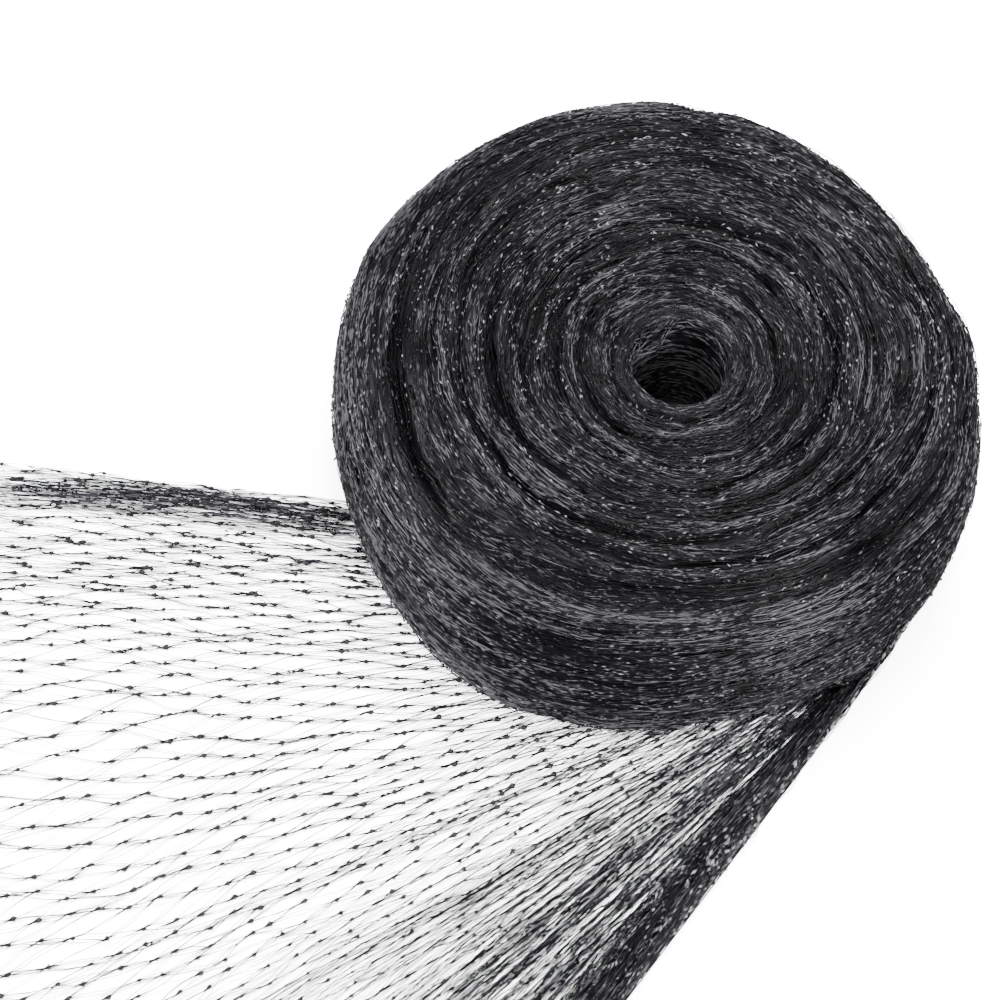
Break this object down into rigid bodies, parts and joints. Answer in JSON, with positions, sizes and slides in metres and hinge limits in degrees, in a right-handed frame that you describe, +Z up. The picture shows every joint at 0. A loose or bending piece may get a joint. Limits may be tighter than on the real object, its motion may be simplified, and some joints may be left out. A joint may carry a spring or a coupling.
{
  "type": "roll of bird netting",
  "caption": "Roll of fine black knotted bird netting, bunched and wound round an open core, lying on its end with its loose end fanned out flat.",
  "frame": {"origin": "middle of the underside of the box round the roll and its fanned loose end", "axes": "+Z up, along the roll's core; the loose end fans out from the roll towards -X and -Y, and -Y faces the viewer"},
  "size_m": [0.3602, 0.4514, 0.0779],
  "materials": {
    "wound_net": "black nylon monofilament, drawn into bunches, slight gloss with bright glints on the knots",
    "loose_net": "black nylon monofilament knotted into open meshes, slight gloss"
  },
  "bodies": {
    "root": {"net_roll": "wound_net", "net_sheet": "loose_net"}
  },
  "joints": []
}
